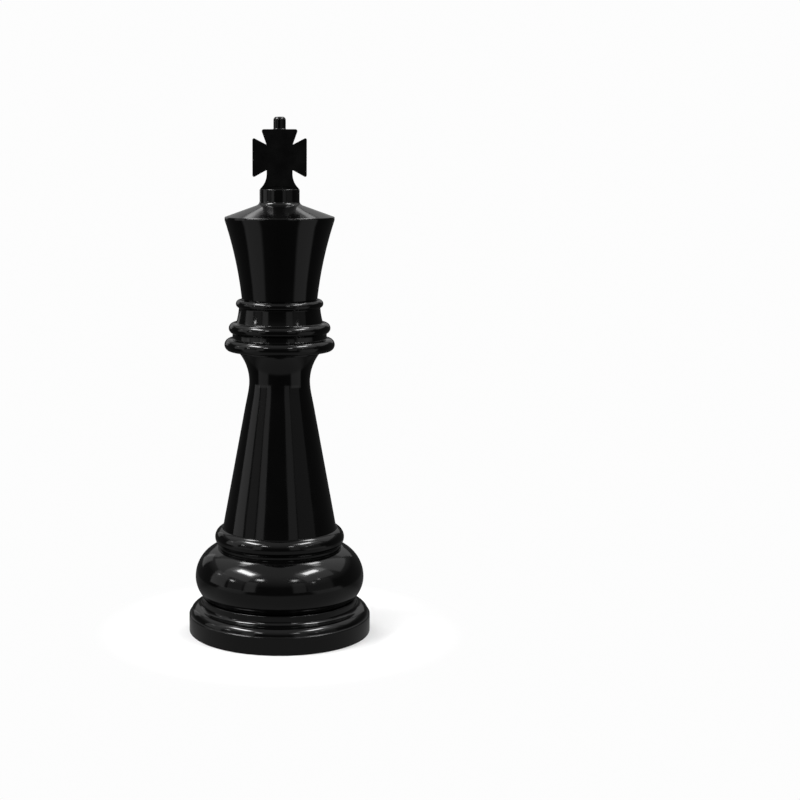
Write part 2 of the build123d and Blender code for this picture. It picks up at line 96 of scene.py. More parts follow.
def turned(name, start, *steps, rounding=0.35, around=AROUND):
    """A piece turned about Z. A step is the next corner (radius, height) in mm, or a pair of
    points: an arc through the first to the second. Corners get a small rounding."""
    bm = bmesh.new()
    last = first = bm.verts.new((start[0] * MM, 0, start[1] * MM))
    here = start
    for step in steps:
        if isinstance(step[0], tuple):
            centre, turn = circle_through(here, *step)
            arc = bmesh.ops.spin(bm, geom=[last], cent=(centre[0] * MM, 0, centre[1] * MM),
                                 axis=(0, -1, 0), angle=turn, steps=ARC_STEPS)
            last, here = arc["geom_last"][0], step[1]
        else:
            corner = bm.verts.new((step[0] * MM, 0, step[1] * MM))
            bm.edges.new((last, corner))
            last, here = corner, step
    if here[0] > 0:
        bm.edges.new((last, first))
    bmesh.ops.spin(bm, geom=bm.verts[:] + bm.edges[:], cent=(0, 0, 0), axis=(0, 0, 1),
                   angle=2 * math.pi, steps=around, use_merge=True)
    bmesh.ops.remove_doubles(bm, verts=bm.verts[:], dist=0.001 * MM)
    on_axis = [e for e in bm.edges if e.is_wire]
    bmesh.ops.delete(bm, geom=on_axis, context="EDGES")
    bmesh.ops.recalc_face_normals(bm, faces=bm.faces[:])
    round_corners(bm, rounding)
    return finished(name, bm)


def round_corners(bm, rounding, sharper_than=28):
    """Rounds every edge that turns by more than an angle, convex or hollow."""
    corners = [e for e in bm.edges if e.calc_face_angle(0) > math.radians(sharper_than)]
    if rounding and corners:
        bmesh.ops.bevel(bm, geom=corners, offset=rounding * MM, affect="EDGES", segments=3,
                        profile=0.5, material=-1, clamp_overlap=True)


def finished(name, bm):
    """Turns a bmesh into an object with smooth faces whose flats stay flat."""
    for face in bm.faces:
        face.smooth = True
    mesh = bpy.data.meshes.new(name)
    bm.to_mesh(mesh)
    bm.free()
    piece = bpy.data.objects.new(name, mesh)
    bpy.context.scene.collection.objects.link(piece)
    flats = piece.modifiers.new("flats", "WEIGHTED_NORMAL")
    flats.weight = 100
    return piece


def fit_piece(piece, material, body, slot, *nodes):
    """Gives a piece its material, the body that it rides on and the CAD nodes it stands for."""
    piece.data.materials.append(material)
    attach(piece, body)
    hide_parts(*nodes)
    return piece


# Gloss black plastic, moulded against polished steel and buffed. The eye sees
# clear but slightly soft reflections, with a faint orange peel a few
# millimetres across, a slow waviness where the wall shrank, and hairline
# scuffs that only change the gloss.

def gloss_black_plastic():
    material, tree = new_material("gloss_black_moulded_plastic")
    place = add_node(tree, "ShaderNodeTexCoord").outputs["Object"]
    peel = add_node(tree, "ShaderNodeTexNoise", {"Vector": place}, Scale=1 / (4.5 * MM), Detail=1.5)
    waves = add_node(tree, "ShaderNodeTexNoise", {"Vector": place}, Scale=1 / (55 * MM), Detail=1.0)
    haze = add_node(tree, "ShaderNodeTexNoise", {"Vector": place}, Scale=1 / (30 * MM), Detail=4.0)
    stretched = add_node(tree, "ShaderNodeMapping", {"Vector": place}, Scale=(9, 9, 1),
                         Rotation=(0.5, 0.35, 0.0))
    scuffs = add_node(tree, "ShaderNodeTexNoise", {"Vector": stretched.outputs["Vector"]},
                      Scale=1 / (35 * MM), Detail=6.0, Roughness=0.7)
    scuff_lines = add_node(tree, "ShaderNodeMapRange", {"Value": scuffs.outputs["Fac"]},
                           From_Min=0.62, From_Max=0.75, To_Min=0.0, To_Max=0.05)
    gloss = add_node(tree, "ShaderNodeMapRange", {"Value": haze.outputs["Fac"]},
                     From_Min=0.3, From_Max=0.7, To_Min=0.085, To_Max=0.13)
    rough = add_node(tree, "ShaderNodeMath", operation="ADD")
    tree.links.new(gloss.outputs["Result"], rough.inputs[0])
    tree.links.new(scuff_lines.outputs["Result"], rough.inputs[1])
    slow = add_node(tree, "ShaderNodeBump", {"Height": waves.outputs["Fac"]}, Strength=0.35,
                    Distance=1.2 * MM)
    fine = add_node(tree, "ShaderNodeBump", {"Height": peel.outputs["Fac"],
                    "Normal": slow.outputs["Normal"]}, Strength=0.3, Distance=0.015 * MM)
    tone = two_tone(tree, haze.outputs["Fac"], "#030303", "#070707")
    shader = add_node(tree, "ShaderNodeBsdfPrincipled",
                      {"Base Color": tone, "Roughness": rough.outputs["Value"],
                       "Normal": fine.outputs["Normal"]}, IOR=1.46)
    add_node(tree, "ShaderNodeOutputMaterial", {"Surface": shader.outputs["BSDF"]})
    return material


gloss_black = gloss_black_plastic()
foot_shell = turned(
    "foot_shell_moulding", (114.3, 0), (114.3, 21.0),
    ((113.8, 22.2), (112.6, 22.7)),                # edge of the side
    ((109.47, 29.07), (103.0, 32.0)),              # ogee
    ((99.53, 33.63), (97.7, 37.0)),                # cove
    (97.7, 42.6), ((97.3, 43.5), (96.4, 43.9)),    # bead
    (87.0, 43.9), (87.0, 40.4), (94.2, 40.4), (94.2, 37.0), ((96.6, 31.4), (101.4, 28.9)),
    ((106.8, 26.2), (110.8, 20.0)), (110.8, 0), rounding=0.6)
fit_piece(foot_shell, gloss_black, "base", "gloss_black_shell", "foot_shell")


# Bulge shell. A hollow rounded body, blow moulded in the same plastic, with a
# flange on the foot's deck and a lip at the top that carries the socket ring.

bulge_shell = turned(
    "bulge_shell_moulding", (87.0, 43.9), (95.0, 43.9),
    ((103.13, 55.57), (106.0, 69.5)), ((98.26, 93.3), (78.0, 108.0)),
    (63.6, 108.0), (63.6, 104.5), (77.1, 104.5),
    ((95.4, 90.9), (102.5, 69.5)), ((100.0, 57.3), (92.9, 47.4)), (87.0, 47.4), rounding=0.25)
fit_piece(bulge_shell, gloss_black, "base", "gloss_black_shell", "bulge_shell")


# Socket ring. One moulding: the round ring on the bulge, and the blind socket
# below it that the stem's spigot stands in. Screws hold it to the bulge's lip.

socket_ring = turned(
    "socket_ring_moulding", (0, 92.7), (0, 89.3), (63.5, 89.3), (63.5, 108.0), (77.5, 108.0),
    (77.5, 111.4), ((80.9, 122.4), (72.6, 131.8)), (71.5, 131.8), (71.5, 128.8), (60.0, 128.8),
    (60.0, 92.75), (0, 92.75), rounding=0.7)
fit_piece(socket_ring, gloss_black, "base", "gloss_black_shell", "socket_ring")


# Screws under the socket ring. Four zinc-plated cross-head screws go up from
# inside the bulge, through its lip. The plating is bright, with a faint bluish
# and straw-coloured bloom, and is duller where the bath ran off.

SCREW_LENGTH = 16.0
SCREW_HEAD = 3.8            # radii
SCREW_SHANK = 1.9
THREAD_ROOT = 1.35
HEAD_HEIGHT = 2.2
THREAD_START = 2.9
THREAD_PITCH = 1.5
POINT = 3.1                 # the bare end below the thread
SMALL_AROUND = 32           # facets round a screw


def zinc_plate():
    material, tree = new_material("zinc_plated_steel")
    place = add_node(tree, "ShaderNodeTexCoord").outputs["Object"]
    bloom = add_node(tree, "ShaderNodeTexNoise", {"Vector": place}, Scale=1 / (4 * MM), Detail=3.0)
    crystals = add_node(tree, "ShaderNodeTexVoronoi", {"Vector": place}, Scale=1 / (0.8 * MM))
    tone = two_tone(tree, bloom.outputs["Fac"], "#b9bec6", "#cbc6b4")
    gloss = add_node(tree, "ShaderNodeMapRange", {"Value": crystals.outputs["Distance"]},
                     From_Min=0.0, From_Max=0.8, To_Min=0.26, To_Max=0.42)
    relief = add_node(tree, "ShaderNodeBump", {"Height": crystals.outputs["Distance"]},
                      Strength=0.2, Distance=0.02 * MM)
    shader = add_node(tree, "ShaderNodeBsdfPrincipled",
                      {"Base Color": tone, "Roughness": gloss.outputs["Result"],
                       "Normal": relief.outputs["Normal"]}, Metallic=1.0)
    add_node(tree, "ShaderNodeOutputMaterial", {"Surface": shader.outputs["BSDF"]})
    return material


def repeat_round(piece, circle, height, count):
    """Moves a piece to a height and out to a circle, in mm, and repeats it round the axis."""
    bm = bmesh.new()
    bm.from_mesh(piece.data)
    bmesh.ops.translate(bm, verts=bm.verts[:], vec=(circle * MM, 0, height * MM))
    bmesh.ops.spin(bm, geom=bm.verts[:] + bm.edges[:] + bm.faces[:], cent=(0, 0, 0),
                   axis=(0, 0, 1), angle=2 * math.pi * (count - 1) / count, steps=count - 1,
                   use_duplicate=True)
    bm.to_mesh(piece.data)
    bm.free()


def extruded(name, outline, depth, taper=1.0):
    """A flat outline in mm, extruded up to a depth and scaled by a taper at its far end."""
    bm = bmesh.new()
    corners = [bm.verts.new((x * MM, y * MM, z * MM)) for x, y, z in outline]
    for a, b in zip(corners, corners[1:] + corners[:1]):
        bm.edges.new((a, b))
    bmesh.ops.contextual_create(bm, geom=bm.edges[:])
    walls = bmesh.ops.extrude_face_region(bm, geom=bm.faces[:], use_keep_orig=True)
    moved = [v for v in walls["geom"] if isinstance(v, bmesh.types.BMVert)]
    bmesh.ops.translate(bm, verts=moved, vec=(0, 0, depth * MM))
    bmesh.ops.scale(bm, verts=moved, vec=(taper, taper, 1))
    bmesh.ops.recalc_face_normals(bm, faces=bm.faces[:])
    return finished(name, bm)


def cut_away(piece, cutter):
    """Takes the cutter's shape out of the piece for good, and removes the cutter."""
    cut = piece.modifiers.new("cut", "BOOLEAN")
    cut.object = cutter
    cut.solver = "EXACT"
    piece.modifiers.move(len(piece.modifiers) - 1, 0)
    piece.modifiers["flats"].show_viewport = False
    whole = piece.evaluated_get(bpy.context.evaluated_depsgraph_get())
    mesh = bpy.data.meshes.new_from_object(whole)
    piece.modifiers.remove(cut)
    piece.modifiers["flats"].show_viewport = True
    piece.data = mesh
    bpy.data.objects.remove(cutter)


def screws(name, height, circle, count, length=SCREW_LENGTH):
    """Countersunk cross-head screws that point up from a height, all in one piece."""
    turns = int((length - THREAD_START - POINT) / THREAD_PITCH)
    ridge = ((THREAD_ROOT, 0.0), (THREAD_ROOT, 0.3), (SCREW_SHANK, 0.6), (THREAD_ROOT, 0.9))
    thread = [(radius, THREAD_START + THREAD_PITCH * (turn + part))
              for turn in range(turns) for radius, part in ridge]
    screw = turned(name, (0, 0), (SCREW_HEAD, 0), (SCREW_SHANK, HEAD_HEIGHT), *thread,
                   (0, length), rounding=0.08, around=SMALL_AROUND)
    wide, narrow = 2.2, 0.45        # half the cross-shaped drive, along and across an arm
    quarter = [(wide, narrow), (narrow, narrow), (narrow, wide), (-narrow, wide),
               (-narrow, narrow), (-wide, narrow)]
    drive = quarter + [(-x, -y) for x, y in quarter]
    cut_away(screw, extruded("drive_recess", [(x, y, -0.4) for x, y in drive], 2.2, taper=0.5))
    repeat_round(screw, circle, height, count)
    return screw


zinc = zinc_plate()
fit_piece(screws("socket_ring_screw_set", 104.5, 70.75, 4), zinc, "base", "zinc_screw",
          "socket_ring_screws")


# Sand ballast. Dry silica sand in the foot and bulge. It holds the CAD shape,
# as it never shows. Its grains are half a millimetre, drawn at 1.5 mm.

def dry_sand():
    material, tree = new_material("dry_silica_sand")
    place = add_node(tree, "ShaderNodeTexCoord").outputs["Object"]
    grains = add_node(tree, "ShaderNodeTexVoronoi", {"Vector": place}, Scale=1 / (1.5 * MM))
    grain = add_node(tree, "ShaderNodeSeparateColor", {"Color": grains.outputs["Color"]})
    tone = two_tone(tree, grain.outputs["Red"], "#a98b5f", "#dcc79e")
    relief = add_node(tree, "ShaderNodeBump", {"Height": grains.outputs["Distance"]},
                      Strength=0.8, Distance=0.4 * MM)
    shader = add_node(tree, "ShaderNodeBsdfPrincipled",
                      {"Base Color": tone, "Normal": relief.outputs["Normal"]},
                      Roughness=0.9, IOR=1.54)
    add_node(tree, "ShaderNodeOutputMaterial", {"Surface": shader.outputs["BSDF"]})
    return material


def dress(material, *nodes):
    """Gives carried-over CAD nodes their material."""
    for name in nodes:
        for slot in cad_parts[name].material_slots:
            slot.material = material


dress(dry_sand(), "sand_ballast")


# Base plate. A black disc with a threaded collar for the filler cap. It lies
# on a flat rubber seal in the foot and is held by six screws from below.

def matt_black_plastic():
    """Black plastic from a spark-eroded mould, as on hidden faces: an even, fine, dull grain.
    The real grain is 0.3 mm. It is drawn at 0.9 mm so that it shows."""
    material, tree = new_material("matt_black_moulded_plastic")
    place = add_node(tree, "ShaderNodeTexCoord").outputs["Object"]
    grain = add_node(tree, "ShaderNodeTexNoise", {"Vector": place}, Scale=1 / (0.9 * MM),
                     Detail=2.0)
    patches = add_node(tree, "ShaderNodeTexNoise", {"Vector": place}, Scale=1 / (40 * MM),
                       Detail=3.0)
    dull = add_node(tree, "ShaderNodeMapRange", {"Value": patches.outputs["Fac"]},
                    From_Min=0.3, From_Max=0.7, To_Min=0.42, To_Max=0.56)
    tone = two_tone(tree, patches.outputs["Fac"], "#131313", "#1c1c1c")
    relief = add_node(tree, "ShaderNodeBump", {"Height": grain.outputs["Fac"]}, Strength=0.5,
                      Distance=0.06 * MM)
    shader = add_node(tree, "ShaderNodeBsdfPrincipled",
                      {"Base Color": tone, "Roughness": dull.outputs["Result"],
                       "Normal": relief.outputs["Normal"]}, IOR=1.5)
    add_node(tree, "ShaderNodeOutputMaterial", {"Surface": shader.outputs["BSDF"]})
    return material


def black_rubber():
    """Moulded nitrile rubber: dull black with a faint grey bloom and a fine skin."""
    material, tree = new_material("black_nitrile_rubber")
    place = add_node(tree, "ShaderNodeTexCoord").outputs["Object"]
    bloom = add_node(tree, "ShaderNodeTexNoise", {"Vector": place}, Scale=1 / (6 * MM), Detail=4.0)
    skin = add_node(tree, "ShaderNodeTexNoise", {"Vector": place}, Scale=1 / (0.7 * MM), Detail=1.0)
    tone = two_tone(tree, bloom.outputs["Fac"], "#161616", "#2a2a29")
    relief = add_node(tree, "ShaderNodeBump", {"Height": skin.outputs["Fac"]}, Strength=0.4,
                      Distance=0.04 * MM)
    shader = add_node(tree, "ShaderNodeBsdfPrincipled",
                      {"Base Color": tone, "Normal": relief.outputs["Normal"]},
                      Roughness=0.62, IOR=1.52)
    add_node(tree, "ShaderNodeOutputMaterial", {"Surface": shader.outputs["BSDF"]})
    return material


matt_black = matt_black_plastic()
rubber = black_rubber()
GAP = 0.05
SCREW_HOLE = ((0, -GAP), (SCREW_HEAD + GAP, -GAP), (SCREW_SHANK + GAP, HEAD_HEIGHT),
              (SCREW_SHANK + GAP, 18.0), (0, 18.0))

base_plate = turned(
    "base_plate_moulding", (23.5, 3.0), (110.75, 3.0), (110.75, 7.0), (27.0, 7.0),
    (27.0, 17.0), (20.0, 17.0), (20.0, 5.9), (23.5, 5.9), rounding=0.25)
holes = turned("base_plate_screw_holes", *SCREW_HOLE, rounding=0,
               around=SMALL_AROUND)
repeat_round(holes, 100.7, 3.0, 6)
cut_away(base_plate, holes)
fit_piece(base_plate, matt_black, "base", "black_base_moulding", "base_plate")
fit_piece(screws("base_plate_screw_set", 3.0, 100.7, 6), zinc, "base", "zinc_screw",
          "base_plate_screws")
dress(rubber, "base_seal")


# Filler cap. A cup-shaped plug with a coarse thread and a coin slot, for
# filling with sand. A round rubber ring lies under its flange.

def rubber_ring(node, radius, height, section, body):
    """A ring of round section, its middle at a radius and a height in mm."""
    ring = turned(f"{node}_rubber", (radius - section, height),
                  ((radius, height - section), (radius + section, height)),
                  ((radius, height + section), (radius - section, height)), rounding=0)
    return fit_piece(ring, rubber, body, "rubber", node)


filler_cap = turned(            # a cup, with two ridges of thread round it
    "filler_cap_moulding", (0, 1.0), (26.0, 1.0), (26.0, 2.95), (19.7, 2.95), (19.7, 6.0),
    (19.1, 6.2), (19.1, 6.9), (19.7, 7.6), (19.7, 8.2), (19.1, 8.9), (19.1, 10.9),
    (19.7, 11.6), (19.7, 12.2), (19.1, 12.9), (19.1, 14.5), (17.2, 14.5), (17.2, 5.5), (0, 5.5),
    rounding=0.3)
cut_away(filler_cap, extruded("coin_slot", [(-12, -1.5, -1), (12, -1.5, -1), (12, 1.5, -1),
                                            (-12, 1.5, -1)], 3.2))
fit_piece(filler_cap, matt_black, "filler_cap", "black_base_moulding", "filler_cap")
rubber_ring("filler_cap_seal", 21.6, 4.45, 1.4, "cap_carrier")


# Stem shell. A long tapered tube in the same plastic that draws in to a waist
# and flares out under the collar. It stands in a shallow seat in the ring.

def flare_curve(bottom, waist, top, inset):
    """Points in mm along the flare: two Bezier spans that meet at the waist."""
    spans = ((bottom, (-0.1822, 0.9833), 14.87, waist, (0.0561, 0.9984), 11.45),
             (waist, (0.0561, 0.9984), 11.14, top, (0.6247, 0.7809), 11.93))
    points = []
    for start, leave, reach, end, arrive, pull in spans:
        knots = (start, (start[0] + reach * leave[0], start[1] + reach * leave[1]),
                 (end[0] - pull * arrive[0], end[1] - pull * arrive[1]), end)
        flat = [Vector((radius - inset, height, 0)) for radius, height in knots]
        points += [(p.x, p.y) for p in interpolate_bezier(*flat, 14)][1:]
    return points


WALL = 3.5
flare = ((43.0, 284.0), (37.8, 320.3), (50.0, 352.5))    # its start, waist and top
stem_shell = turned(
    "stem_shell_moulding", (71.2, 128.8), (71.2, 131.8), (43.0, 284.0), *flare_curve(*flare, 0),
    (46.5, 352.5), *reversed(flare_curve(*flare, WALL)[:-1]), (39.5, 284.0), (67.7, 131.8),
    (67.7, 128.8), rounding=0.2)
fit_piece(stem_shell, gloss_black, "stem", "gloss_black_shell", "stem_shell")


# Stem plugs. The foot plug is a cup-shaped spigot that drops into the ring's
# socket. The top plug's polished flange finishes the flare, and its spigot
# takes the head. Both are moulded and solvent welded into the stem.

stem_foot_plug = turned(
    "stem_foot_spigot", (0, 92.8), (59.7, 92.8), (59.7, 109.35), (56.9, 109.35), (56.9, 112.25),
    (59.7, 112.25), (59.7, 128.8), (67.65, 128.8), (67.65, 131.8), (55.2, 131.8), (55.2, 97.3),
    (0, 97.3), rounding=0.3)
fit_piece(stem_foot_plug, matt_black, "stem", "black_inner_moulding", "stem_foot_plug")

stem_top_plug = turned(
    "stem_top_plug_moulding", (29.5, 349.3), (39.5, 349.3), (39.5, 352.5), (50.0, 352.5),
    (50.0, 355.7), (34.0, 355.7), (34.0, 370.25), (31.0, 370.25), (31.0, 373.15), (34.0, 373.15),
    (34.0, 387.7), (29.5, 387.7), rounding=0.2)
fit_piece(stem_top_plug, gloss_black, "stem", "gloss_black_shell", "stem_top_plug")
rubber_ring("stem_grip_ring", 58.35, 110.8, 1.4, "stem")
rubber_ring("head_grip_ring", 32.65, 371.7, 1.4, "stem")


# Collar shell. Two round rings, a slightly hollow band and a third ring, all
# one polished moulding. Its flat underside hangs out over the stem's flare.

collar_shell = turned(
    "collar_shell_moulding", (48.05, 355.7), (63.6, 355.7),
    ((68.2, 363.15), (61.9, 370.6)), (58.2, 370.6), (58.2, 376.9),
    ((62.8, 383.35), (58.2, 389.8)), (53.6, 389.8), ((51.41, 399.11), (50.2, 408.6)),
    ((53.9, 413.45), (50.2, 418.3)), (0, 418.3), (0, 414.8), (43.0, 414.8), (43.0, 371.2),
    (37.85, 371.2), (37.85, 359.2), (48.05, 359.2), rounding=0.8)
fit_piece(collar_shell, gloss_black, "head", "gloss_black_shell", "collar_shell")


# Head socket. A black cup inside the collar that slides down over the stem's
# spigot. Three short screws through its flange hold it, from below.

head_socket = turned(
    "head_socket_moulding", (34.3, 355.7), (48.0, 355.7), (48.0, 359.2), (37.8, 359.2),
    (37.8, 391.25), (0, 391.25), (0, 387.75), (34.3, 387.75), rounding=0.25)
holes = turned("head_socket_screw_holes", *SCREW_HOLE, rounding=0, around=SMALL_AROUND)
repeat_round(holes, 42.9, 355.7, 3)
cut_away(head_socket, holes)
fit_piece(head_socket, matt_black, "head", "black_inner_moulding", "head_socket")
fit_piece(screws("head_socket_screw_set", 355.7, 42.9, 3, length=13.0), zinc, "head",
          "zinc_screw", "head_socket_screws")


# Crown shell. A cup that flares up to an upright rim, in the same polished
# plastic. Screws through its floor hold it to the collar.

crown_shell = turned(
    "crown_shell_moulding", (0, 418.3), (46.5, 418.3), ((54.31, 467.49), (67.2, 515.6)),
    (67.2, 518.6), (64.2, 518.6), (64.2, 516.0), ((51.38, 468.11), (43.8, 421.3)), (0, 421.3),
    rounding=0.12)
fit_piece(crown_shell, gloss_black, "head", "gloss_black_shell", "crown_shell")
fit_piece(screws("crown_screw_set", 414.8, 32.0, 4), zinc, "head", "zinc_screw", "crown_screws")


# Crown lid. A low cone that closes the crown and rises into a short round
# neck, with the blind socket for the cross down its middle. A skirt inside
# the rim centres it, and it is bonded there.

crown_lid = turned(
    "crown_lid_moulding", (0, 525.3), (10.3, 525.3), (10.3, 553.2), (21.4, 550.75),
    (21.4, 539.4), ((22.9, 534.0), (27.98, 530.38)), (61.2, 518.35), (61.2, 515.6),
    (63.9, 515.6), (63.9, 518.6), (67.2, 518.6),
    ((66.85, 519.45), (66.0, 519.8)), (29.0, 533.2),
    ((25.58, 535.47), (24.4, 539.4)), (24.4, 552.0),
    ((23.96, 553.06), (22.9, 553.5)), (10.3, 556.3), (7.3, 556.3), (7.3, 528.3), (0, 528.3),
    rounding=0.12)
fit_piece(crown_lid, gloss_black, "head", "gloss_black_shell", "crown_lid")


# Cross. Two flat mouldings that meet on the middle plane, a front and a rear,
# bonded over steel pins. The faces have a soft satin polish, the edges are
# eased, and the bond shows as a hairline round the edge.

NECK_TOP = 553.5
CROSS_HALF = 9.5


def satin_black_plastic():
    """The same plastic with a soft satin polish: it stays dark, with blurred highlights."""
    material, tree = new_material("satin_black_moulded_plastic")
    place = add_node(tree, "ShaderNodeTexCoord").outputs["Object"]
    peel = add_node(tree, "ShaderNodeTexNoise", {"Vector": place}, Scale=1 / (3 * MM), Detail=2.0)
    haze = add_node(tree, "ShaderNodeTexNoise", {"Vector": place}, Scale=1 / (14 * MM), Detail=4.0)
    satin = add_node(tree, "ShaderNodeMapRange", {"Value": haze.outputs["Fac"]},
                     From_Min=0.3, From_Max=0.7, To_Min=0.2, To_Max=0.3)
    tone = two_tone(tree, haze.outputs["Fac"], "#030303", "#080808")
    relief = add_node(tree, "ShaderNodeBump", {"Height": peel.outputs["Fac"]}, Strength=0.35,
                      Distance=0.06 * MM)
    shader = add_node(tree, "ShaderNodeBsdfPrincipled",
                      {"Base Color": tone, "Roughness": satin.outputs["Result"],
                       "Normal": relief.outputs["Normal"]}, IOR=1.46)
    add_node(tree, "ShaderNodeOutputMaterial", {"Surface": shader.outputs["BSDF"]})
    return material


def cross_half(name, side):
    """One half of the cross: its outline, thickened to one side and eased round the face."""
    bm = bmesh.new()
    right = [(15.7, 18.0), (15.7, 22.6), (32.9, 13.1), (32.9, 61.9), (15.9, 53.0), (22.5, 71.4)]
    corners = right + [(-x, z) for x, z in reversed(right)]
    outline = [bm.verts.new((x * MM, 0, (NECK_TOP + z) * MM)) for x, z in corners]
    for a, b in zip(outline, outline[1:]):
        bm.edges.new((a, b))
    centre, turn = circle_through((15.7, 18.0), (17.85, 8.11), (23.9, 0))
    feet = []
    for waist, hand in ((outline[0], 1), (outline[-1], -1)):
        foot = bmesh.ops.spin(bm, geom=[waist], axis=(0, -1, 0), angle=hand * turn, steps=ARC_STEPS,
                              cent=(hand * centre[0] * MM, 0, (NECK_TOP + centre[1]) * MM))
        feet.append(foot["geom_last"][0])
    bm.edges.new(feet)
    bmesh.ops.contextual_create(bm, geom=bm.edges[:])
    notches = [v for v in outline if 15 < abs(v.co.x) / MM < 16 and v.co.z / MM > NECK_TOP + 20]
    tips = [v for v in outline if abs(v.co.x) / MM > 22]
    bmesh.ops.bevel(bm, geom=notches, offset=1.0 * MM, affect="VERTICES", segments=4,
                    profile=0.5, material=-1)
    bmesh.ops.bevel(bm, geom=tips, offset=3.6 * MM, affect="VERTICES", segments=7,
                    profile=0.5, material=-1)
    walls = bmesh.ops.extrude_face_region(bm, geom=bm.faces[:], use_keep_orig=True)
    moved = [v for v in walls["geom"] if isinstance(v, bmesh.types.BMVert)]
    bmesh.ops.translate(bm, verts=moved, vec=(0, side * CROSS_HALF * MM, 0))
    bmesh.ops.recalc_face_normals(bm, faces=bm.faces[:])
    for depth, ease, segments in ((CROSS_HALF, 1.3, 4), (0, 0.12, 1)):
        rim = [e for e in bm.edges if all(abs(v.co.y - side * depth * MM) < 1e-7 for v in e.verts)]
        bmesh.ops.bevel(bm, geom=rim, offset=ease * MM, affect="EDGES", segments=segments,
                        profile=0.5, material=-1, clamp_overlap=True)
    return finished(name, bm)


satin_black = satin_black_plastic()
for side, view_side in ((-1, "front"), (1, "rear")):
    half = cross_half(f"cross_{view_side}_moulding", side)
    cut_away(half, turned(
        "neck_and_spigot_space", (0, 530), (40, 530), (40, 553.8), (22.9, 553.8), (10.3, 556.6),
        (7.05, 556.6), (7.05, 577.5), (0, 577.5), rounding=0))
    cut_away(half, turned("peg_space", (0, 612.9), (5.05, 612.9), (5.05, 630), (0, 630),
                          rounding=0))
    fit_piece(half, satin_black, "cross", "gloss_black_shell", f"cross_{view_side}")



# Steel pins. Four ground steel dowels line the two halves up, inside the bond.
# They keep the CAD shape. The eye would see fine lengthwise drawing lines.

def drawn_steel():
    material, tree = new_material("ground_steel_pin")
    place = add_node(tree, "ShaderNodeTexCoord").outputs["Object"]
    along = add_node(tree, "ShaderNodeMapping", {"Vector": place}, Scale=(1, 0.05, 1))
    lines = add_node(tree, "ShaderNodeTexNoise", {"Vector": along.outputs["Vector"]},
                     Scale=1 / (0.6 * MM), Detail=3.0)
    tone = two_tone(tree, lines.outputs["Fac"], "#a3a4a6", "#bfc0c2")
    gloss = add_node(tree, "ShaderNodeMapRange", {"Value": lines.outputs["Fac"]},
                     From_Min=0.3, From_Max=0.7, To_Min=0.2, To_Max=0.34)
    shader = add_node(tree, "ShaderNodeBsdfPrincipled",
                      {"Base Color": tone, "Roughness": gloss.outputs["Result"]},
                      Metallic=1.0)
    add_node(tree, "ShaderNodeOutputMaterial", {"Surface": shader.outputs["BSDF"]})
    return material


dress(drawn_steel(), "cross_dowels")


# Cross spigot. A pin in the neck's socket that is held between the halves, with
# a rubber ring in its groove.

cross_spigot = turned(
    "cross_spigot_pin", (0, 528.3), (7.0, 528.3), (7.0, 541.25), (5.0, 541.25), (5.0, 543.35),
    (7.0, 543.35), (7.0, 577.45), (0, 577.45), rounding=0.3)
fit_piece(cross_spigot, matt_black, "cross", "black_inner_moulding", "cross_spigot")
rubber_ring("cross_grip_ring", 6.05, 542.3, 1.0, "cross")

# Cross peg. A round-topped pin with a small foot, pushed into the top of the
# cross and bonded, in the same gloss black.

cross_peg = turned(
    "cross_peg_pin", (0, 612.9), (5.0, 612.9), (5.0, 624.9), (8.7, 624.9),
    ((7.89, 625.29), (7.5, 626.1)), (7.5, 636.0), ((6.33, 638.83), (3.5, 640.0)), (0, 640.0),
    rounding=0.1)
fit_piece(cross_peg, gloss_black, "cross", "gloss_black_shell", "cross_peg")


# Studio: soft boxes high on both sides, small ones in front, others behind for
# the rims, and tall dim panels all round. The room is a pale backdrop, darker
# in the gloss, with faint light from below for the base plate.

CENTRE = Vector((0, 0, 0.33))
REACH = 2.7                 # metres from the centre to each lamp
PALE = 0.98                 # how bright the backdrop and the far floor are


def soft_box(name, azimuth, elevation, wide, high, radiance):
    """A rectangular lamp seen from the centre at an azimuth from the front and an elevation,
    so many degrees wide and high."""
    azimuth, elevation = math.radians(azimuth), math.radians(elevation)
    towards = Vector((math.sin(azimuth) * math.cos(elevation),
                      -math.cos(azimuth) * math.cos(elevation), math.sin(elevation)))
    lamp = bpy.data.lights.new(name, "AREA")
    lamp.shape = "RECTANGLE"
    lamp.size = 2 * REACH * math.tan(math.radians(wide) / 2)
    lamp.size_y = 2 * REACH * math.tan(math.radians(high) / 2)
    lamp.energy = radiance * math.pi * lamp.size * lamp.size_y
    stand = bpy.data.objects.new(name, lamp)
    stand.location = CENTRE + REACH * towards
    stand.rotation_euler = towards.to_track_quat("Z", "Y").to_euler()
    stand.visible_camera = False
    bpy.context.scene.collection.objects.link(stand)


# The two main boxes, and the dimmer cloth round each
soft_box("key_left", -70, 50.5, 24, 9, 25)
soft_box("key_right", 68, 54, 20, 8, 20)
soft_box("key_left_edge", -70, 51, 34, 17, 1.4)
soft_box("key_right_edge", 70, 55, 34, 16, 1.4)
soft_box("key_left_glow", -72, 42, 44, 32, 0.6)
soft_box("key_right_glow", 66, 44, 44, 32, 0.5)

# Small ones, in front and at the sides
soft_box("front_left", -31, 36, 8, 5, 15)
soft_box("front_right", 24, 36, 7, 5, 12)
soft_box("small_left", -70, 17, 6, 3, 12)
soft_box("small_left_back", -98, 18, 4, 3, 4)
soft_box("small_right", 50, 21, 3, 3, 6)
soft_box("small_right_back", 61, 28, 3, 3, 4)

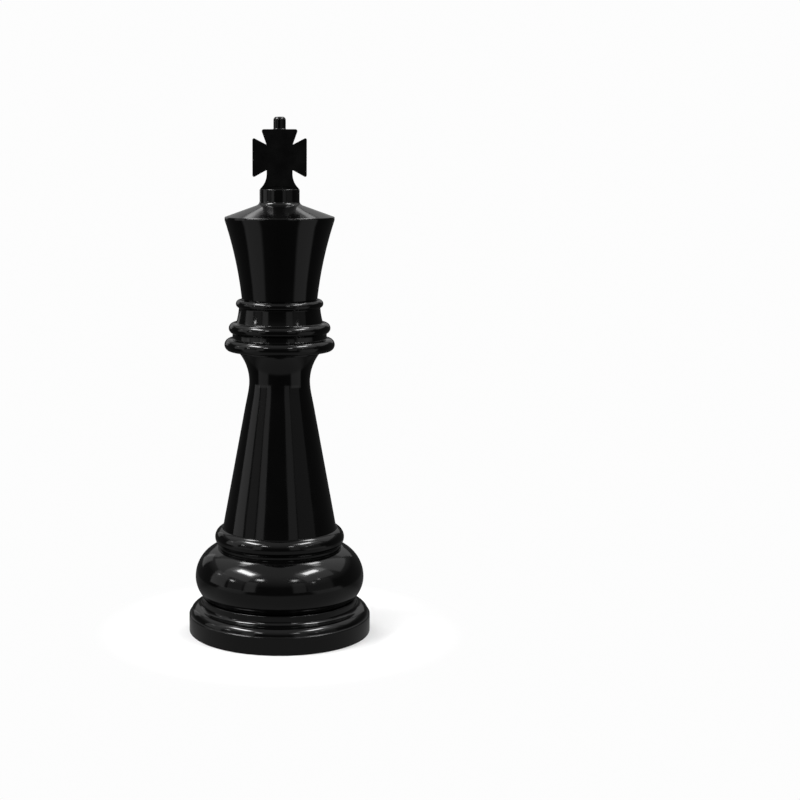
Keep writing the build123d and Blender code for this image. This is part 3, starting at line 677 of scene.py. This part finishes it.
# Behind: for the rims, the lid and the tops of the rings
soft_box("rim_left", -147, 58, 18, 9, 10)
soft_box("rim_right", 148, 57, 18, 9, 10)
soft_box("back_left", -173, 36, 8, 5, 1.3)
soft_box("back_right", 171, 36, 8, 5, 1.0)
soft_box("back_panel", 180, 20, 60, 24, 0.3)
soft_box("back_top_left", -152, 62, 40, 7, 3.0)
soft_box("back_top_right", 152, 62, 40, 7, 3.0)

# Panels at the sides
soft_box("side_back_left", -120, 40, 38, 28, 0.26)
soft_box("side_back_right", 122, 42, 38, 36, 0.42)
soft_box("low_back_left", -145, 10, 16, 20, 0.35)
soft_box("panel_left_back", -92, 8, 28, 36, 0.5)
soft_box("panel_left_front", -40, 8, 16, 36, 0.45)
soft_box("panel_left_middle", -62, 8, 22, 36, 0.2)
soft_box("panel_right_front", 27, 8, 18, 36, 0.27)
soft_box("panel_right_middle", 57, 8, 38, 36, 0.14)

world = bpy.data.worlds.new("studio")
bpy.context.scene.world = world
world.use_nodes = True
sky = world.node_tree
sky.nodes.clear()
rays = add_node(sky, "ShaderNodeLightPath")
direction = add_node(sky, "ShaderNodeTexCoord").outputs["Generated"]
height = add_node(sky, "ShaderNodeSeparateXYZ", {"Vector": direction}).outputs["Z"]
ceiling = add_node(sky, "ShaderNodeMapRange", {"Value": height}, From_Min=0.3, From_Max=0.88,
                   To_Min=0.04, To_Max=0.42)
below = add_node(sky, "ShaderNodeMapRange", {"Value": height}, From_Min=-0.2, From_Max=-0.6,
                 To_Min=0.0, To_Max=0.5)
glow = add_node(sky, "ShaderNodeMath", operation="ADD")
sky.links.new(ceiling.outputs["Result"], glow.inputs[0])
sky.links.new(below.outputs["Result"], glow.inputs[1])
dim = add_node(sky, "ShaderNodeBackground", {"Strength": glow.outputs["Value"]})
dim.inputs["Color"].default_value = (1, 1, 1, 1)
plain = add_node(sky, "ShaderNodeBackground", Strength=PALE)
plain.inputs["Color"].default_value = (1, 1, 1, 1)
backdrop = add_node(sky, "ShaderNodeMixShader", {"Fac": rays.outputs["Is Camera Ray"]})
sky.links.new(dim.outputs["Background"], backdrop.inputs[1])
sky.links.new(plain.outputs["Background"], backdrop.inputs[2])
add_node(sky, "ShaderNodeOutputWorld", {"Surface": backdrop.outputs["Shader"]})


# Floor: matt white board. It takes the shadow, and further out it is as
# bright as the backdrop. To every ray but the camera's it is a glowing sheet
# of painted reflection instead: dim, brighter towards the front near the king,
# with two painted bright strips at the sides that stand in for lit panels.

def studio_floor():
    material, tree = new_material("matt_white_board_painted_reflection")
    place = add_node(tree, "ShaderNodeTexCoord").outputs["Object"]
    rays = add_node(tree, "ShaderNodeLightPath")
    away = add_node(tree, "ShaderNodeVectorMath", {"Vector": place}, operation="LENGTH")
    far = add_node(tree, "ShaderNodeMapRange", {"Value": away.outputs["Value"]},
                   From_Min=0.12, From_Max=0.24, interpolation_type="SMOOTHSTEP")
    board = add_node(tree, "ShaderNodeBsdfDiffuse")
    board.inputs["Color"].default_value = linear("#f6f6f6")
    bright = add_node(tree, "ShaderNodeEmission", Strength=PALE)
    seen = add_node(tree, "ShaderNodeMixShader", {"Fac": far.outputs["Result"]})
    tree.links.new(board.outputs["BSDF"], seen.inputs[1])
    tree.links.new(bright.outputs["Emission"], seen.inputs[2])
    across = add_node(tree, "ShaderNodeSeparateXYZ", {"Vector": place})
    sideways = add_node(tree, "ShaderNodeMath", operation="ABSOLUTE")
    tree.links.new(across.outputs["X"], sideways.inputs[0])
    bearing = add_node(tree, "ShaderNodeMath", operation="ARCTAN2")
    tree.links.new(sideways.outputs["Value"], bearing.inputs[0])
    tree.links.new(across.outputs["Y"], bearing.inputs[1])
    # Painted reflection: two bright strips at the sides, glowing where lit panels would be.
    painted_panel_strips = add_node(tree, "ShaderNodeValToRGB")
    turn = add_node(tree, "ShaderNodeMath", operation="DIVIDE")
    tree.links.new(bearing.outputs["Value"], turn.inputs[0])
    turn.inputs[1].default_value = math.pi
    tree.links.new(turn.outputs["Value"], painted_panel_strips.inputs["Fac"])
    ramp = painted_panel_strips.color_ramp
    ramp.elements[0].position, ramp.elements[0].color = 0.0, (0.04, 0.04, 0.04, 1)
    ramp.elements[1].position, ramp.elements[1].color = 1.0, (0.04, 0.04, 0.04, 1)
    for bearing_degrees, brightness in ((92, 0.04), (97, 0.36), (133, 0.36), (140, 0.05)):
        stop = ramp.elements.new(bearing_degrees / 180)
        stop.color = (brightness, brightness, brightness, 1)
    # Near the king the painted reflection is brighter towards the front. Further out it is the dim
    # glow with the strips.
    near = add_node(tree, "ShaderNodeMapRange", {"Value": away.outputs["Value"]},
                    From_Min=0.45, From_Max=0.6, interpolation_type="SMOOTHSTEP")
    painted_reflection_level = add_node(tree, "ShaderNodeMix", {"Factor": near.outputs["Result"]}, data_type="FLOAT")
    front = add_node(tree, "ShaderNodeMapRange", {"Value": across.outputs["Y"]},
                     From_Min=-0.05, From_Max=0.1, To_Min=0.24, To_Max=0.08)
    tree.links.new(front.outputs["Result"], painted_reflection_level.inputs[2])
    tree.links.new(painted_panel_strips.outputs["Color"], painted_reflection_level.inputs[3])
    # The floor's painted reflection: a glow that every ray but the camera's sees.
    dark = add_node(tree, "ShaderNodeEmission", {"Strength": painted_reflection_level.outputs[0]})
    mirrored = add_node(tree, "ShaderNodeMixShader", {"Fac": rays.outputs["Is Camera Ray"]})
    tree.links.new(dark.outputs["Emission"], mirrored.inputs[1])
    tree.links.new(seen.outputs["Shader"], mirrored.inputs[2])
    add_node(tree, "ShaderNodeOutputMaterial", {"Surface": mirrored.outputs["Shader"]})
    return material


bm = bmesh.new()
bmesh.ops.create_grid(bm, x_segments=1, y_segments=1, size=8)
floor_mesh = bpy.data.meshes.new("floor")
bm.to_mesh(floor_mesh)
bm.free()
floor_mesh.materials.append(studio_floor())
floor = bpy.data.objects.new("floor", floor_mesh)
bpy.context.scene.collection.objects.link(floor)
bpy.context.scene.view_settings.view_transform = "Standard"


# Camera at the height of the collar, looking slightly down. The king stands
# left of the middle, so the lens is shifted, not turned.

camera_data = bpy.data.cameras.new("camera")
camera_data.sensor_width = 36
camera_data.lens = 70.3
camera_data.shift_x = 0.1505
camera = bpy.data.objects.new("camera", camera_data)
camera.location = (0, -1.91964, 0.58902)
camera.rotation_euler = Euler((math.radians(90 - 8.76), 0, 0))
bpy.context.scene.collection.objects.link(camera)
bpy.context.scene.camera = camera
